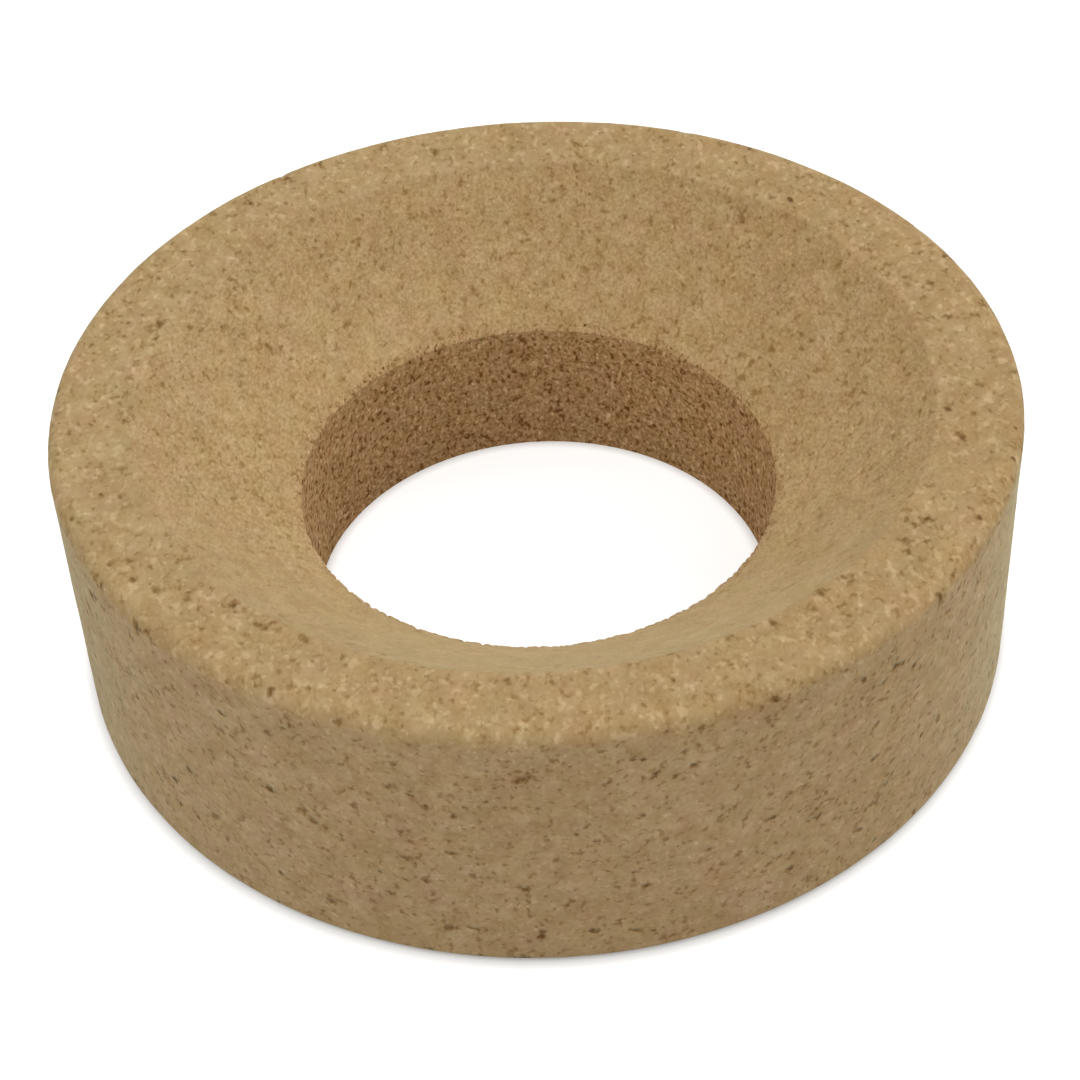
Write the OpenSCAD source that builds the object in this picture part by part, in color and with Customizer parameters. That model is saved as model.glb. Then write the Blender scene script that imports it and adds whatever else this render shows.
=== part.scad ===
// Cork ring: a stand for a round-bottomed laboratory flask.
// One pressed piece of fine-grained agglomerated cork. A plain base, a land on
// top that falls slightly inwards, a funnel-shaped seat that takes the flask,
// and a straight bore below it.
// The origin is at the middle of the base, +Z is up, units are mm.

/* [Ring] */
// Outside diameter of the top, before its edge is rounded
outer_d = 110; // [100:1:160]
// Height from the base to the land's outside, before its edge is rounded
height = 34; // [28:1:60]
// How far the outside wall leans out at the base, so that the ring leaves its mould
draft = 1.2; // [0.2:0.1:2]

/* [Flask seat] */
// Diameter of the bore below the seat
bore_d = 56.4; // [40:0.2:64]
// Width of the land between the top's outside and the mouth of the seat
land_w = 9.5; // [7:0.5:12]
// How far the land falls from its outside to the mouth of the seat
land_fall = 1; // [0.2:0.1:1.5]
// How far the seat goes down from its mouth to the bore
seat_depth = 14.3; // [8:0.1:18]

/* [Edges] */
// Radius where the land rounds over into the outside wall
rim_r = 1.5; // [1:0.25:4]
// Radius where the land turns down into the seat
lip_r = 1; // [1:0.5:6]
// Radius that takes the sharpness off the base's outside edge
foot_r = 1; // [0.5:0.5:2]

/* [Hidden] */
cork_colour = [0.69, 0.58, 0.41];
top_r = outer_d / 2;
base_r = top_r + draft;
bore_r = bore_d / 2;
mouth_r = top_r - land_w;
mouth_h = height - land_fall;
wall_h = mouth_h - seat_depth; // height of the straight bore
proud = 0.5; // how far a cutter stands out of the corner it cuts
$fn = 180;

function unit(v) = v / norm(v);

// The corners of the section, in order round it
foot = [base_r, 0];
rim = [top_r, height];
lip = [mouth_r, mouth_h];
throat = [bore_r, wall_h];
toe = [bore_r, 0];

// What lies between a corner and the arc that rounds it, with the corner's
// neighbours on each side giving the directions of its two edges.
module corner_waste(before, corner, after, r) {
    a = unit(before - corner);
    b = unit(after - corner);
    inward = unit(a + b);
    half_angle = acos(a * b) / 2;
    reach = r / tan(half_angle);
    difference() {
        polygon([corner - inward * proud, corner + a * reach, corner + b * reach]);
        translate(corner + inward * r / sin(half_angle)) circle(r);
    }
}

// Half of the ring's section, to the right of the axis
module section() {
    difference() {
        polygon([toe, foot, rim, lip, throat]);
        corner_waste(toe, foot, rim, foot_r);
        corner_waste(foot, rim, lip, rim_r);
        corner_waste(rim, lip, throat, lip_r);
    }
}

module cork_ring() {
    color(cork_colour) rotate_extrude() section();
}

cork_ring();
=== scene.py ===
import math

import bpy
from mathutils import Euler, Matrix, Vector


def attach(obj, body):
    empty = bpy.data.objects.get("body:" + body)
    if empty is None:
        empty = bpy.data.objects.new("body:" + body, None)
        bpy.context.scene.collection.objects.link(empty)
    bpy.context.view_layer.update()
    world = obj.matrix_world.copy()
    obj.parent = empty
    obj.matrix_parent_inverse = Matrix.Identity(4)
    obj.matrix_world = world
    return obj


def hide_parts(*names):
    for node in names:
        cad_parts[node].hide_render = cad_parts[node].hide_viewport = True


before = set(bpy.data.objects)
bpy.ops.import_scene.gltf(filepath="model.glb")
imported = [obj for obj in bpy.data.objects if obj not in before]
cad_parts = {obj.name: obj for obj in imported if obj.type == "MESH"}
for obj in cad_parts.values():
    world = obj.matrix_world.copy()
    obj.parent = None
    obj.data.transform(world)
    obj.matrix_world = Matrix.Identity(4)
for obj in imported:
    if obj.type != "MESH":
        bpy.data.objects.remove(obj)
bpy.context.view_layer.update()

mm = 0.001
nearly = 0.01 * mm      # what counts as no distance
seed = 11.0             # moves every noise to another place


# helpers that the node trees share

def add(tree, kind, inputs=None, **settings):
    made = tree.nodes.new(kind)
    for name, value in settings.items():
        setattr(made, name, value)
    for key, value in (inputs or {}).items():
        if isinstance(value, bpy.types.NodeSocket):
            tree.links.new(value, made.inputs[key])
        else:
            made.inputs[key].default_value = value
    return made


def calc(tree, operation, a, b=0.0, c=0.0):
    return add(tree, "ShaderNodeMath", {0: a, 1: b, 2: c}, operation=operation).outputs[0]


def vectors(tree, operation, a, b=(0, 0, 0), c=(0, 0, 0), output="Vector"):
    return add(tree, "ShaderNodeVectorMath", {0: a, 1: b, 2: c}, operation=operation).outputs[output]


def scaled(tree, vector, amount):
    return add(tree, "ShaderNodeVectorMath", {0: vector, "Scale": amount}, operation="SCALE").outputs[0]


def part(tree, vector, axis):
    return add(tree, "ShaderNodeSeparateXYZ", {0: vector}).outputs[axis]


def fromAxis(tree, position):  # distance from the ring's axis
    flat = vectors(tree, "MULTIPLY", position, (1, 1, 0))
    return vectors(tree, "LENGTH", flat, output="Value")


def fade(tree, value, low, high, lowTo=0.0, highTo=1.0):  # a smooth step, from lowTo at low to highTo at high
    return add(tree, "ShaderNodeMapRange", {"Value": value, "From Min": low, "From Max": high,
               "To Min": lowTo, "To Max": highTo}, interpolation_type="SMOOTHSTEP").outputs["Result"]


def share(tree, mask, kept):  # 1 outside the mask, and kept inside it
    return calc(tree, "MULTIPLY_ADD", mask, kept - 1, 1.0)


def noise(tree, place, scale, detail=2.0):  # about -1 to 1
    made = add(tree, "ShaderNodeTexNoise", {"Vector": place, "Scale": scale, "Detail": detail})
    return calc(tree, "MULTIPLY_ADD", made.outputs["Fac"], 2.0, -1.0)


def cells(tree, place, scale, feature="F1"):
    return add(tree, "ShaderNodeTexVoronoi", {"Vector": place, "Scale": scale}, feature=feature).outputs


def corkPlace(tree, position, squash):  # millimetres, with the granules squashed or drawn out
    sized = vectors(tree, "MULTIPLY", position, [amount / mm for amount in squash])
    return vectors(tree, "ADD", sized, (seed, seed * 2, seed * 3))


# the ring's mesh: the section's corners, rounded, divided and turned about the axis

ring = {  # each is an input of the shape's tree
    "topRadius": 55.0 * mm,     # to the wall's top corner, before it is rounded
    "draft": 1.2 * mm,          # how far the wall leans out at the base
    "height": 34.0 * mm,        # to the same corner
    "boreRadius": 28.2 * mm,
    "landWidth": 9.5 * mm,      # top between the wall and the seat's mouth
    "landFall": 1.0 * mm,       # and its fall towards the mouth
    "seatDepth": 14.3 * mm,     # drop of the seat to the bore
    "lipRadius": 1.0 * mm,      # round of the land into the seat
    "rimRadius": 1.3 * mm,      # round of the top's outside edge
    "footRadius": 1.0 * mm,     # round of the base's outside edge
    "around": 600,              # divisions round the axis
    "step": 0.62 * mm,          # spacing of the loops over what shows
    "baseStep": 4.5 * mm,       # and under the base
    "arcPoints": 7,
    "sharpAngle": math.radians(35),
    "cutDrop": 0.1 * mm,        # the cut bore's material starts this far below the throat
    "cutReach": 1.0 * mm,       # and goes this far out of the bore's wall
}

relief = {
    "squash": (1.0, 1.0, 1.05),     # how much the press flattened the granules
    "swell": 0.10 * mm,         # slow unevenness of the faces
    "swellScale": 0.07,         # waves to a millimetre
    "granules": 0.05 * mm,      # height of the granules over their seams
    "granuleScale": 0.62,
    "pits": 0.30 * mm,          # depth of the larger pits
    "pitScale": 0.30,
    "pitFloor": 0.06,           # radius of a pit's flat bottom, in cells
    "pitMouth": 0.20,           # and of its mouth
    "pitless": 0.55,            # share of the cells without a pit
    "boreRough": 0.16 * mm,     # torn grain of the cut bore
    "boreScale": 0.85,
    "boreFade": (0.2 * mm, 0.7 * mm),   # where it dies away, out of the bore's wall
    "chips": 0.55 * mm,         # nicks in the throat's edge
    "chipReach": 1.0 * mm,
    "chipScale": 1.9,
    "chipRange": (-0.1, 0.8),
    "inSeat": 0.35,             # share of the relief that the seat keeps
    "seatInside": (0.2 * mm, 0.9 * mm),     # where the seat begins, out of the bore's wall
    "seatOutside": (44.5 * mm, 46.0 * mm),  # and the radii over which it ends
    "footRise": 1.2 * mm,       # height over which the relief dies out towards the base
}


def mouthHeight(tree, given):
    return calc(tree, "SUBTRACT", given["height"], given["landFall"])


def throatHeight(tree, given):
    return calc(tree, "SUBTRACT", mouthHeight(tree, given), given["seatDepth"])


def sectionCurve(tree, given):
    def corner(radius, height):  # in the profile's own plane, x goes out from the bore's wall and y down
        out = calc(tree, "SUBTRACT", radius, given["boreRadius"])
        down = calc(tree, "MULTIPLY", height, -1.0)
        return add(tree, "ShaderNodeCombineXYZ", {0: out, 1: down}).outputs[0]

    index = add(tree, "GeometryNodeInputIndex").outputs[0]

    def byCorner(kind, values):
        switch = add(tree, "GeometryNodeIndexSwitch", data_type=kind)
        while len(switch.index_switch_items) < len(values):
            switch.index_switch_items.new()
        tree.links.new(index, switch.inputs["Index"])
        for place, value in enumerate(values, start=1):
            if isinstance(value, bpy.types.NodeSocket):
                tree.links.new(value, switch.inputs[place])
            else:
                switch.inputs[place].default_value = value
        return switch.outputs[0]

    mouth = calc(tree, "SUBTRACT", given["topRadius"], given["landWidth"])
    foot = calc(tree, "ADD", given["topRadius"], given["draft"])
    corners = [
        corner(given["boreRadius"], throatHeight(tree, given)),
        corner(mouth, mouthHeight(tree, given)),
        corner(given["topRadius"], given["height"]),
        corner(foot, 0.0),
        corner(given["boreRadius"], 0.0),
    ]
    rounds = [0.0, given["lipRadius"], given["rimRadius"], given["footRadius"], 0.0]
    line = add(tree, "GeometryNodeMeshLine", {"Count": len(corners)}).outputs[0]
    placed = add(tree, "GeometryNodeSetPosition", {"Geometry": line,
                 "Position": byCorner("VECTOR", corners)})
    curve = add(tree, "GeometryNodeMeshToCurve", {"Mesh": placed.outputs[0]})
    closed = add(tree, "GeometryNodeSetSplineCyclic", {"Geometry": curve.outputs[0], "Cyclic": True})
    rounded = add(tree, "GeometryNodeFilletCurve", {"Curve": closed.outputs[0], "Count": given["arcPoints"],
                  "Radius": byCorner("FLOAT", rounds)}, mode="POLY")

    here = add(tree, "GeometryNodeInputPosition").outputs[0]
    nextPoint = add(tree, "GeometryNodeOffsetPointInCurve", {"Offset": 1}).outputs["Point Index"]
    there = add(tree, "GeometryNodeFieldAtIndex", {"Value": here, "Index": nextPoint},
                data_type="FLOAT_VECTOR").outputs[0]
    span = vectors(tree, "DISTANCE", here, there, output="Value")
    bothDown = part(tree, vectors(tree, "ADD", here, there), "Y")
    onBase = calc(tree, "COMPARE", bothDown, 0.0, nearly)
    wider = calc(tree, "SUBTRACT", given["baseStep"], given["step"])
    step = calc(tree, "MULTIPLY_ADD", onBase, wider, given["step"])
    return add(tree, "GeometryNodeSubdivideCurve", {"Curve": rounded.outputs[0],
               "Cuts": calc(tree, "DIVIDE", span, step)}).outputs[0]


def reliefHeight(tree, given):  # how far each point moves along its normal
    position = add(tree, "GeometryNodeInputPosition").outputs[0]
    place = corkPlace(tree, position, relief["squash"])
    radius = fromAxis(tree, position)
    height = part(tree, position, "Z")
    outward = calc(tree, "SUBTRACT", radius, given["boreRadius"])

    swell = calc(tree, "MULTIPLY", noise(tree, place, relief["swellScale"]), relief["swell"])
    granule = cells(tree, place, relief["granuleScale"], "SMOOTH_F1")["Distance"]
    dome = calc(tree, "MULTIPLY_ADD", granule, -relief["granules"], relief["granules"] / 2)
    pitCell = cells(tree, place, relief["pitScale"])
    pitted = calc(tree, "GREATER_THAN", part(tree, pitCell["Color"], "X"), relief["pitless"])
    pit = fade(tree, pitCell["Distance"], relief["pitFloor"], relief["pitMouth"], -relief["pits"], 0.0)
    pit = calc(tree, "MULTIPLY", pit, pitted)
    torn = calc(tree, "MULTIPLY", noise(tree, place, relief["boreScale"], detail=3.0), relief["boreRough"])
    torn = calc(tree, "MULTIPLY", torn, fade(tree, outward, *relief["boreFade"], 1.0, 0.0))

    upward = calc(tree, "SUBTRACT", height, throatHeight(tree, given))
    away = calc(tree, "SQRT", calc(tree, "ADD", calc(tree, "MULTIPLY", outward, outward),
                calc(tree, "MULTIPLY", upward, upward)))
    nearEdge = fade(tree, away, 0.0, relief["chipReach"], -relief["chips"], 0.0)
    chip = fade(tree, noise(tree, place, relief["chipScale"]), *relief["chipRange"])
    chip = calc(tree, "MULTIPLY", nearEdge, chip)

    total = calc(tree, "ADD", calc(tree, "ADD", swell, dome), calc(tree, "ADD", pit, torn))
    seat = calc(tree, "MULTIPLY", fade(tree, outward, *relief["seatInside"]),
                fade(tree, radius, *relief["seatOutside"], 1.0, 0.0))
    total = calc(tree, "MULTIPLY_ADD", total, share(tree, seat, relief["inSeat"]), chip)
    return calc(tree, "MULTIPLY", total, fade(tree, height, 0.0, relief["footRise"]))


def ringTree(skin, cutCork):
    tree = bpy.data.node_groups.new("corkRingShape", "GeometryNodeTree")
    for name, size in ring.items():
        kind = "NodeSocketInt" if isinstance(size, int) else "NodeSocketFloat"
        tree.interface.new_socket(name, in_out="INPUT", socket_type=kind)
    tree.interface.new_socket("shape", in_out="OUTPUT", socket_type="NodeSocketGeometry")
    given = add(tree, "NodeGroupInput").outputs
    circle = add(tree, "GeometryNodeCurvePrimitiveCircle", {"Resolution": given["around"],
                 "Radius": given["boreRadius"]})
    turned = add(tree, "GeometryNodeCurveToMesh", {"Curve": circle.outputs[0],
                 "Profile Curve": sectionCurve(tree, given)})
    edgeAngle = add(tree, "GeometryNodeInputMeshEdgeAngle").outputs["Unsigned Angle"]
    crisp = calc(tree, "GREATER_THAN", edgeAngle, given["sharpAngle"])
    edged = add(tree, "GeometryNodeSetShadeSmooth", {"Geometry": turned.outputs[0], "Selection": crisp,
                "Shade Smooth": False}, domain="EDGE")
    normal = add(tree, "GeometryNodeInputNormal").outputs[0]
    offset = scaled(tree, normal, reliefHeight(tree, given))
    worn = add(tree, "GeometryNodeSetPosition", {"Geometry": edged.outputs[0], "Offset": offset})
    realized = add(tree, "GeometryNodeRealizeInstances", {"Geometry": worn.outputs[0]})
    coated = add(tree, "GeometryNodeSetMaterial", {"Geometry": realized.outputs[0], "Material": skin})

    position = add(tree, "GeometryNodeInputPosition").outputs[0]
    below = calc(tree, "LESS_THAN", part(tree, position, "Z"),
                 calc(tree, "SUBTRACT", throatHeight(tree, given), given["cutDrop"]))
    inside = calc(tree, "LESS_THAN", fromAxis(tree, position),
                  calc(tree, "ADD", given["boreRadius"], given["cutReach"]))
    bored = add(tree, "GeometryNodeSetMaterial", {"Geometry": coated.outputs[0], "Material": cutCork,
                "Selection": calc(tree, "MULTIPLY", below, inside)})
    add(tree, "NodeGroupOutput", {0: bored.outputs[0]})
    return tree


def makeRing(skin, cutCork):
    tree = ringTree(skin, cutCork)
    maker = bpy.data.objects.new("ringMaker", bpy.data.meshes.new("ringMaker"))
    bpy.context.scene.collection.objects.link(maker)
    modifier = maker.modifiers.new("shape", "NODES")
    modifier.node_group = tree
    for socket in tree.interface.items_tree:
        if socket.name in ring:
            modifier[socket.identifier] = ring[socket.name]
    evaluated = maker.evaluated_get(bpy.context.evaluated_depsgraph_get())
    mesh = bpy.data.meshes.new_from_object(evaluated)
    bpy.data.objects.remove(maker)
    mesh.name = "pressedCorkRing"
    piece = bpy.data.objects.new("pressedCorkRing", mesh)
    bpy.context.scene.collection.objects.link(piece)
    print("ring mesh:", len(mesh.polygons), "faces")
    return piece


# cork: tan granules with pale flecks, joins and small dark pits, whose darkness is partly painted shade; the
# cut bore is browner and rougher

def tone(red, green, blue):  # an ordinary 0 to 255 colour, as the shader's own numbers
    linear = [((v / 255 + 0.055) / 1.055) ** 2.4 for v in (red, green, blue)]
    return (*linear, 1.0)


cork = {
    "deep": tone(114, 78, 35),      # bottom of a pit, its darkness partly its own colour and partly painted shade
    "brown": tone(159, 127, 83),
    "tan": tone(181, 151, 109),     # the usual granule
    "cream": tone(210, 181, 142),   # the pale ones
    "crumb": tone(234, 208, 171),   # and the palest
    "stops": (0.33, 0.50, 0.75),    # where brown, tan and cream lie between deep and crumb
    "levels": 120.0,                # levels from deep to crumb, in which the amounts below are given
    "squash": (1.04, 0.72, 1.06),   # the marks run a little longer from front to back
    "apart": 30.0,                  # distance between the parts of the noise that they come from
    # marks of the pressed faces
    "granules": 6.0,                # tone from one granule to the next, with soft joins
    "granuleScale": 0.6,
    "drift": 5.5,                   # slow drift of the tone
    "driftScale": 0.12,
    "grain": 13.0,                  # fine grain
    "grainScale": 1.8,
    "coarse": 12.0,                 # and a coarser one
    "coarseScale": 0.6,
    "spots": 62.0,                  # brown pits, dark partly from their own colour and partly from painted shade in their depth
    "spotScale": 0.64,
    "spotRange": (0.19, 0.66),      # where the noise begins to be a pit, and where it is one
    "specks": 32.0,                 # fine ones, with the same mix of their own brown and painted shade
    "speckScale": 1.3,
    "speckRange": (0.14, 0.60),
    "cluster": 0.19,                # both come in clusters
    "clusterScale": 0.16,
    "crumbs": 22.0,                 # pale crumbs
    "crumbScale": 1.35,
    "crumbRange": (0.20, 0.60),
    "plates": 6.0,                  # pale granules
    "platesOnLand": 10.0,           # and as much more on the land, which is rubbed
    "plateScale": 0.95,
    "plateRange": (0.12, 0.38),
    "joins": 13.0,                  # dark joins round some granules
    "joinScale": 0.8,
    "joinWidth": 0.13,
    "joinRange": (-0.1, 0.5),
    # strength of the marks on each face, with the wall's as 1
    "landRough": 1.03,
    "landSpots": 0.9,
    "landSpecks": 0.75,
    "seatRough": 0.9,
    "seatSpots": 0.6,
    "boreRough": 0.6,
    "boreSpots": 0.5,
    "boreDrift": 0.4,
    # the seat's own grain
    "seatGrain": 28.0,
    "seatGrainScale": 2.8,
    "seatLean": (0.0, -0.73, 0.684),    # the way in which it is drawn out
    "seatStretch": 0.55,            # its scale that way
    "seatWorn": 0.45,               # what the seat's front, worn smooth, keeps of its marks
    "wornFront": (-0.8, -0.1),      # where it is worn: y over the radius
    # the cut of the bore
    "cutStretch": 0.75,             # the cut shows its granules taller
    "cutGrain": 68.0,
    "cutGrainScale": 2.4,
    "cutCrumbs": 44.0,              # pale crumbs, partly painted highlights where light catches the torn grain
    "cutCrumbRange": (0.12, 0.60),
    "cutHoles": 50.0,               # and torn holes, dark partly from their own colour and partly from painted shade in them
    "cutHoleRange": (0.10, 0.45),
    "cutScale": 1.5,
    # where one face gives way to the next
    "throatScale": 2.4,             # the cut's ragged upper edge
    "throatRagged": 4.0 * mm,
    "throatFade": (-0.1 * mm, 0.2 * mm),
    "throatReach": 0.9 * mm,        # how far out of the bore's wall the cut may go
    "seatReach": 1.0 * mm,          # and how far down the bore the seat may
    "mouthFade": (44.4 * mm, 46.6 * mm),    # radii, from the seat to the land
    "topFade": (32.2 * mm, 33.4 * mm),      # heights, from the wall to the land
    # hue
    "mottle": 0.037,                # slow drift of the hue, orange to olive
    "mottleScale": 0.28,
    "warmth": 3.0,                  # how much more the blue drifts
    "lean": (0.0, -0.0125, -0.029),     # a slow change of hue from left to right
    "seatTint": (1.04, 1.035, 0.968),   # the faces' tints, with the wall's as 1: partly their own tone, partly painted light and shade that makes up for how the lamps fall on each face
    "throatTint": (1.10, 1.105, 1.036),     # the seat where it meets the bore, painted paler: painted light that fades out over the radii below
    "throatSpan": (29.0 * mm, 44.0 * mm),   # radii, from this tint to the seat's
    "landTint": (0.97, 0.967, 0.896),
    "boreTint": (1.01, 0.915, 0.83),
    "rimHighlight": 0.015,                # painted highlight: a paler line inside the top's outside edge
    "rimHighlightInside": (51.6 * mm, 52.8 * mm),
    "rimHighlightOutside": (53.4 * mm, 54.4 * mm),
    # shading
    "hollow": 0.30 * mm,            # depth of the pits
    "pinhole": 0.03 * mm,           # of the fine ones
    "grit": 0.02 * mm,              # of the grain
    "torn": 0.06 * mm,              # and of the cut's granules
    "seatBump": 0.4,                # share of these that the seat keeps
    "bump": 0.8,
    "roughness": 0.9,
    "specular": 0.2,
    "sheen": 0.26,
    "cutSheen": 0.0,                # the cut bore has none
    "sheenRoughness": 0.33,
    "sheenTint": (0.82, 1.0, 0.74, 1.0),
}


def corkFaces(tree, position, place):  # masks of the ring's faces
    radius = fromAxis(tree, position)
    height = part(tree, position, "Z")
    throat = ring["height"] - ring["landFall"] - ring["seatDepth"]
    low, high = cork["throatFade"]
    ragged = noise(tree, place, cork["throatScale"])
    ragged = calc(tree, "MULTIPLY_ADD", ragged, cork["throatRagged"], height)
    bore = calc(tree, "MULTIPLY", fade(tree, ragged, throat + low, throat + high, 1.0, 0.0),
                calc(tree, "LESS_THAN", radius, ring["boreRadius"] + cork["throatReach"]))
    within = calc(tree, "MULTIPLY", fade(tree, radius, *cork["mouthFade"], 1.0, 0.0),
                  calc(tree, "GREATER_THAN", height, throat - cork["seatReach"]))
    top = fade(tree, height, *cork["topFade"])
    forward = calc(tree, "DIVIDE", part(tree, position, "Y"), radius)
    # a painted highlight along the top's outside edge
    paintedRimHighlight = calc(tree, "MULTIPLY", fade(tree, radius, *cork["rimHighlightInside"]),
               fade(tree, radius, *cork["rimHighlightOutside"], cork["rimHighlight"], 0.0))
    return {
        "bore": bore,
        "seat": calc(tree, "MULTIPLY", within, calc(tree, "SUBTRACT", 1.0, bore)),
        "land": calc(tree, "MULTIPLY", top, calc(tree, "SUBTRACT", 1.0, within)),
        "paintedRimHighlight": calc(tree, "MULTIPLY", paintedRimHighlight, top),
        "unworn": fade(tree, forward, *cork["wornFront"], cork["seatWorn"], 1.0),
        "outward": fade(tree, radius, *cork["throatSpan"]),
    }


def onFaces(tree, faces, land, seat, bore):  # a strength for each face, with the wall's as 1
    seat = calc(tree, "MULTIPLY_ADD", faces["unworn"], seat, -1.0)
    strength = calc(tree, "MULTIPLY_ADD", faces["seat"], seat, share(tree, faces["land"], land))
    return calc(tree, "MULTIPLY_ADD", faces["bore"], bore - 1, strength)


def aside(tree, place, times):  # the same place in another part of the noise
    return vectors(tree, "ADD", place, (cork["apart"] * times, 0, 0))


def cutTexture(tree, place):  # tone and height of the cut bore
    cutPlace = vectors(tree, "MULTIPLY", aside(tree, place, 11), (1, 1, cork["cutStretch"]))
    grain = noise(tree, cutPlace, cork["cutGrainScale"])
    crumb = noise(tree, aside(tree, cutPlace, 1), cork["cutScale"], detail=1.0)
    crumb = fade(tree, crumb, *cork["cutCrumbRange"])
    hole = noise(tree, aside(tree, cutPlace, 2), cork["cutScale"], detail=1.0)
    hole = fade(tree, hole, *cork["cutHoleRange"])
    level = calc(tree, "MULTIPLY", grain, cork["cutGrain"])
    # pale crumbs in the bore: partly their own colour, partly painted highlights
    level = calc(tree, "MULTIPLY_ADD", crumb, cork["cutCrumbs"], level)
    # torn holes darkened: partly their own colour, partly painted shade
    level = calc(tree, "MULTIPLY_ADD", hole, -cork["cutHoles"], level)
    return level, calc(tree, "MULTIPLY", calc(tree, "SUBTRACT", grain, hole), cork["torn"])


def joinLines(tree, place):  # wavering joins, round some of the granules
    wander = add(tree, "ShaderNodeTexNoise", {"Vector": place, "Scale": cork["joinScale"]}).outputs["Color"]
    wander = vectors(tree, "ADD", place, vectors(tree, "SUBTRACT", wander, (0.5, 0.5, 0.5)))
    edge = cells(tree, wander, cork["joinScale"], "DISTANCE_TO_EDGE")["Distance"]
    line = fade(tree, edge, 0.0, cork["joinWidth"], 1.0, 0.0)
    dark = fade(tree, noise(tree, aside(tree, place, 9), cork["joinScale"]), *cork["joinRange"])
    return calc(tree, "MULTIPLY", line, dark)


def seatTexture(tree, place, faces):  # the seat's own grain, fainter where it is worn
    along = vectors(tree, "DOT_PRODUCT", place, cork["seatLean"], output="Value")
    along = calc(tree, "MULTIPLY", along, cork["seatStretch"] - 1)
    drawnOut = vectors(tree, "MULTIPLY_ADD", along, cork["seatLean"], place)
    grain = calc(tree, "MULTIPLY", noise(tree, drawnOut, cork["seatGrainScale"]), cork["seatGrain"])
    return calc(tree, "MULTIPLY", grain, faces["unworn"])


def corkTexture(tree, place, faces):  # tone and height of every face
    bore, seat, land = faces["bore"], faces["seat"], faces["land"]
    granule = part(tree, cells(tree, place, cork["granuleScale"], "SMOOTH_F1")["Color"], "X")
    granule = calc(tree, "MULTIPLY_ADD", granule, 2 * cork["granules"], -cork["granules"])
    drift = calc(tree, "MULTIPLY", noise(tree, aside(tree, place, 1), cork["driftScale"]), cork["drift"])
    coarse = noise(tree, aside(tree, place, 2), cork["coarseScale"])
    coarse = calc(tree, "MULTIPLY", coarse, cork["coarse"])
    grain = noise(tree, place, cork["grainScale"])
    cluster = noise(tree, aside(tree, place, 3), cork["clusterScale"])
    cluster = calc(tree, "MULTIPLY", cluster, cork["cluster"])
    spot = calc(tree, "ADD", noise(tree, aside(tree, place, 4), cork["spotScale"]), cluster)
    spot = calc(tree, "MULTIPLY", fade(tree, spot, *cork["spotRange"]),
                onFaces(tree, faces, cork["landSpots"], cork["seatSpots"], cork["boreSpots"]))
    speck = calc(tree, "ADD", noise(tree, aside(tree, place, 5), cork["speckScale"], detail=1.0), cluster)
    speck = fade(tree, speck, *cork["speckRange"])
    speck = calc(tree, "MULTIPLY", speck, share(tree, land, cork["landSpecks"]))
    crumb = fade(tree, noise(tree, aside(tree, place, 6), cork["crumbScale"]), *cork["crumbRange"])
    plate = noise(tree, aside(tree, place, 10), cork["plateScale"], detail=1.0)
    plate = fade(tree, plate, *cork["plateRange"])
    plateTone = calc(tree, "MULTIPLY_ADD", land, cork["platesOnLand"], cork["plates"])
    cutLevel, cutHeight = cutTexture(tree, place)

    fine = calc(tree, "MULTIPLY_ADD", grain, cork["grain"], coarse)
    fine = calc(tree, "MULTIPLY_ADD", speck, -cork["specks"], fine)
    fine = calc(tree, "MULTIPLY_ADD", crumb, cork["crumbs"], fine)
    fine = calc(tree, "MULTIPLY_ADD", joinLines(tree, place), -cork["joins"], fine)
    fine = calc(tree, "MULTIPLY_ADD", plate, plateTone, fine)
    rough = onFaces(tree, faces, cork["landRough"], cork["seatRough"], cork["boreRough"])
    slow = calc(tree, "MULTIPLY", calc(tree, "ADD", granule, drift), share(tree, bore, cork["boreDrift"]))
    level = calc(tree, "MULTIPLY_ADD", fine, rough, slow)
    level = calc(tree, "MULTIPLY_ADD", seatTexture(tree, place, faces), seat, level)
    # pits darkened: partly their own brown, partly painted shade in their depth
    level = calc(tree, "MULTIPLY_ADD", spot, -cork["spots"], level)
    level = calc(tree, "MULTIPLY_ADD", cutLevel, bore, level)

    height = calc(tree, "MULTIPLY", calc(tree, "MULTIPLY", speck, rough), -cork["pinhole"])
    height = calc(tree, "MULTIPLY_ADD", spot, -cork["hollow"], height)
    height = calc(tree, "MULTIPLY_ADD", grain, cork["grit"], height)
    height = calc(tree, "MULTIPLY_ADD", cutHeight, bore, height)
    return level, calc(tree, "MULTIPLY", height, share(tree, seat, cork["seatBump"]))


def mixColours(tree, factor, a, b):  # inputs 6 and 7 are the node's two colours, and output 2 their mix
    return add(tree, "ShaderNodeMix", {0: factor, 6: a, 7: b}, data_type="RGBA").outputs[2]


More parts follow.
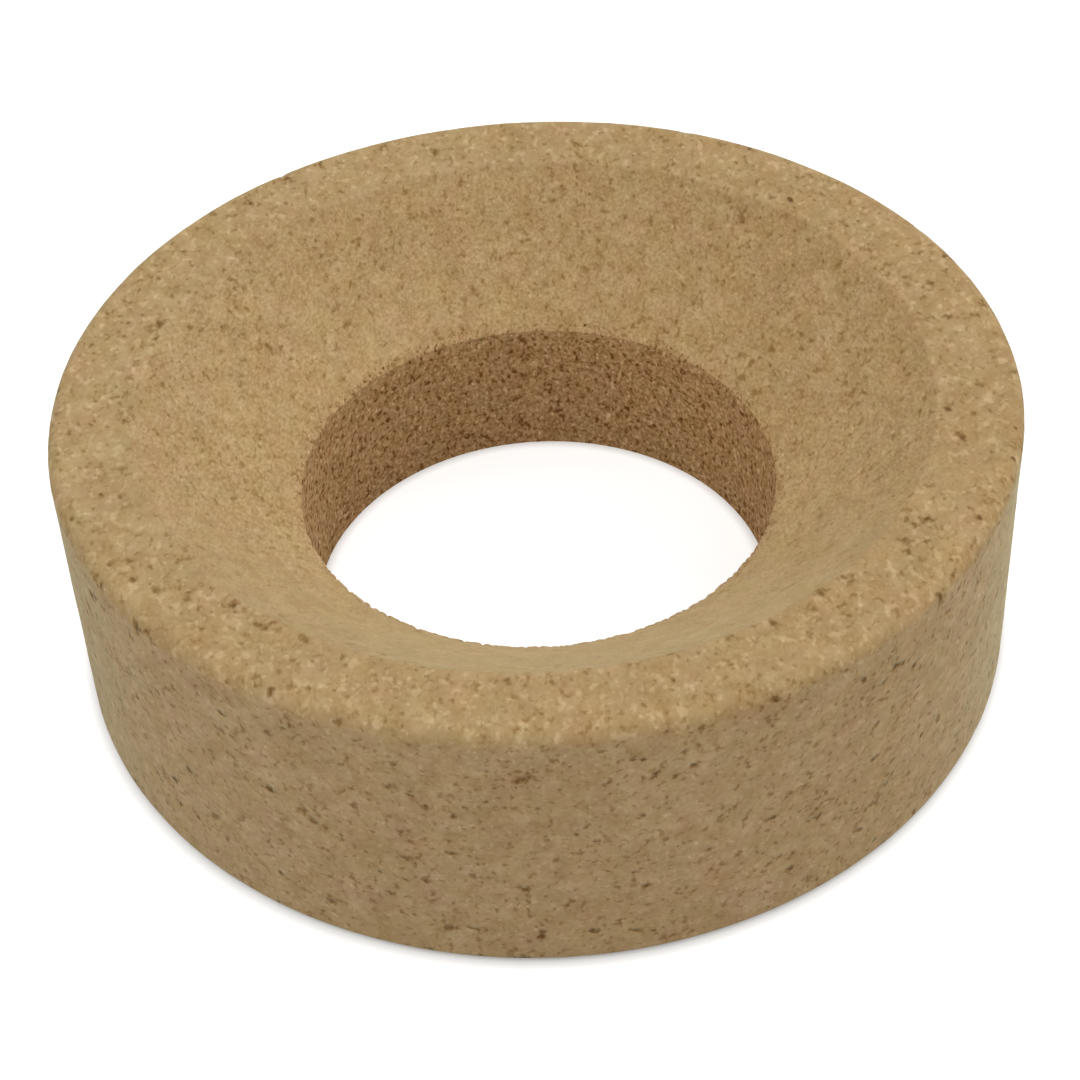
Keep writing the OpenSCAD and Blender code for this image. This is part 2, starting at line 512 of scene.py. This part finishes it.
def corkColour(tree, position, place, faces, level):
    tones = add(tree, "ShaderNodeValToRGB", {0: calc(tree, "MULTIPLY_ADD", level, 1 / cork["levels"], 0.5)})
    tones.color_ramp.elements[0].color = cork["deep"]
    tones.color_ramp.elements[1].color = cork["crumb"]
    for stop, name in zip(cork["stops"], ("brown", "tan", "cream")):
        tones.color_ramp.elements.new(stop).color = cork[name]

    mottle = noise(tree, aside(tree, place, 7), cork["mottleScale"], detail=1.0)
    mottle = calc(tree, "MULTIPLY", mottle, cork["mottle"])
    warm = noise(tree, aside(tree, place, 8), cork["mottleScale"], detail=1.0)
    warm = calc(tree, "MULTIPLY", warm, cork["mottle"] * cork["warmth"])
    hue = add(tree, "ShaderNodeCombineXYZ", {0: calc(tree, "ADD", 1.0, mottle),
              1: calc(tree, "SUBTRACT", 1.0, mottle), 2: calc(tree, "ADD", 1.0, warm)}).outputs[0]
    across = calc(tree, "DIVIDE", part(tree, position, "X"), ring["topRadius"])
    hue = vectors(tree, "MULTIPLY_ADD", across, cork["lean"], hue)

    # painted light: the seat painted paler towards the throat
    seatTint = mixColours(tree, faces["outward"], (*cork["throatTint"], 1.0), (*cork["seatTint"], 1.0))
    # each face's tint: partly its own tone, partly painted light and shade
    tint = mixColours(tree, faces["land"], (1.0, 1.0, 1.0, 1.0), (*cork["landTint"], 1.0))
    tint = mixColours(tree, faces["seat"], tint, seatTint)
    tint = mixColours(tree, faces["bore"], tint, (*cork["boreTint"], 1.0))
    # the painted highlight inside the top's outside edge
    tint = scaled(tree, tint, calc(tree, "ADD", faces["paintedRimHighlight"], 1.0))
    return vectors(tree, "MULTIPLY", vectors(tree, "MULTIPLY", tones.outputs[0], hue), tint)


def corkMaterial(name, sheen):
    material = bpy.data.materials.new(name)
    material.use_nodes = True
    tree = material.node_tree
    tree.nodes.clear()
    position = add(tree, "ShaderNodeTexCoord").outputs["Object"]
    place = corkPlace(tree, position, cork["squash"])
    faces = corkFaces(tree, position, place)
    level, height = corkTexture(tree, place, faces)
    colour = corkColour(tree, position, place, faces, level)
    bump = add(tree, "ShaderNodeBump", {"Height": height, "Distance": 1.0, "Strength": cork["bump"]})
    shader = add(tree, "ShaderNodeBsdfPrincipled", {"Base Color": colour, "Roughness": cork["roughness"],
                 "Specular IOR Level": cork["specular"], "Sheen Weight": sheen,
                 "Sheen Roughness": cork["sheenRoughness"], "Sheen Tint": cork["sheenTint"],
                 "Normal": bump.outputs[0]})
    add(tree, "ShaderNodeOutputMaterial", {"Surface": shader.outputs[0]})
    return material


# studio: a pale floor, a soft dome and lamps

studio = {
    "floorSize": 6.0,
    "floorColour": tone(203, 203, 201),
    "floorGlow": 0.72,          # what makes the floor white to the camera
    "contact": 1.5 * mm,        # reach of the thin shadow at the ring's foot
    "contactSamples": 2,
    "dome": 0.457,
}

lamps = {
    "rightLamp": {"place": (1.15, 0.0, 0.96), "size": 1.0, "power": 3.2},
    "leftLamp": {"place": (-1.15, 0.0, 0.96), "size": 1.0, "power": 4.6},
    "backLamp": {"place": (0.81, 0.81, 0.96), "size": 1.0, "power": 7.8},
    "frontLamp": {"place": (0.0, -1.15, 0.96), "size": 1.0, "power": 4.45},
}


def seenDirectly(tree):  # by the camera, or in gloss or glass
    path = add(tree, "ShaderNodeLightPath").outputs
    shiny = calc(tree, "MAXIMUM", path["Is Glossy Ray"], path["Is Transmission Ray"])
    return calc(tree, "MAXIMUM", path["Is Camera Ray"], shiny)


def floorMaterial():
    material = bpy.data.materials.new("paleFloor")
    material.use_nodes = True
    tree = material.node_tree
    tree.nodes.clear()
    matt = add(tree, "ShaderNodeBsdfDiffuse", {"Color": studio["floorColour"]}).outputs[0]
    contact = add(tree, "ShaderNodeAmbientOcclusion", {"Distance": studio["contact"]},
                  samples=studio["contactSamples"]).outputs["AO"]
    lit = calc(tree, "MULTIPLY", calc(tree, "MULTIPLY", seenDirectly(tree), studio["floorGlow"]), contact)
    glow = add(tree, "ShaderNodeEmission", {"Color": (1, 1, 1, 1), "Strength": lit}).outputs[0]
    both = add(tree, "ShaderNodeAddShader", {0: matt, 1: glow}).outputs[0]
    add(tree, "ShaderNodeOutputMaterial", {"Surface": both})
    return material


def makeFloor():
    half = studio["floorSize"] / 2
    corners = [(-half, -half, 0), (half, -half, 0), (half, half, 0), (-half, half, 0)]
    mesh = bpy.data.meshes.new("floor")
    mesh.from_pydata(corners, [], [(0, 1, 2, 3)])
    mesh.materials.append(floorMaterial())
    floor = bpy.data.objects.new("floor", mesh)
    bpy.context.scene.collection.objects.link(floor)


def makeDome():
    world = bpy.data.worlds.new("studio")
    bpy.context.scene.world = world
    world.use_nodes = True
    tree = world.node_tree
    tree.nodes.clear()
    level = calc(tree, "MULTIPLY_ADD", seenDirectly(tree), 1.0 - studio["dome"], studio["dome"])
    sky = add(tree, "ShaderNodeBackground", {"Color": (1, 1, 1, 1), "Strength": level}).outputs[0]
    add(tree, "ShaderNodeOutputWorld", {"Surface": sky})


def makeLamps():
    for name, lamp in lamps.items():
        data = bpy.data.lights.new(name, "AREA")
        data.size = lamp["size"]
        data.energy = lamp["power"]
        holder = bpy.data.objects.new(name, data)
        holder.location = lamp["place"]
        holder.rotation_euler = (-Vector(lamp["place"])).to_track_quat("-Z", "Y").to_euler()
        bpy.context.scene.collection.objects.link(holder)


# camera: from the front and above, turned a little about its own axis

view = {
    "elevation": math.radians(43.136),
    "roll": math.radians(-3.0),
    "distance": 249.03 * mm,
    "aim": (-0.18 * mm, 0.0, 8.16 * mm),
    "lens": 67.69,
    "sensor": 36.0,
    "nearest": 10.0 * mm,
}


def makeCamera():
    data = bpy.data.cameras.new("camera")
    data.lens = view["lens"]
    data.sensor_width = view["sensor"]
    data.clip_start = view["nearest"]
    camera = bpy.data.objects.new("camera", data)
    back = Vector((0, -math.cos(view["elevation"]), math.sin(view["elevation"])))
    tilt = Euler((math.pi / 2 - view["elevation"], 0, 0)).to_matrix()
    turn = Matrix.Rotation(view["roll"], 3, "Z")
    camera.matrix_world = (tilt @ turn).to_4x4()
    camera.location = Vector(view["aim"]) + back * view["distance"]
    bpy.context.scene.collection.objects.link(camera)
    bpy.context.scene.camera = camera


makeCamera()
print("camera placed")
piece = makeRing(corkMaterial("pressedCork", cork["sheen"]), corkMaterial("cutCork", cork["cutSheen"]))
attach(piece, "root")
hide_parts("cork_ring")
print("cork ring made")
makeFloor()
makeDome()
makeLamps()
print("studio lit")

bpy.context.scene.view_settings.view_transform = "Standard"
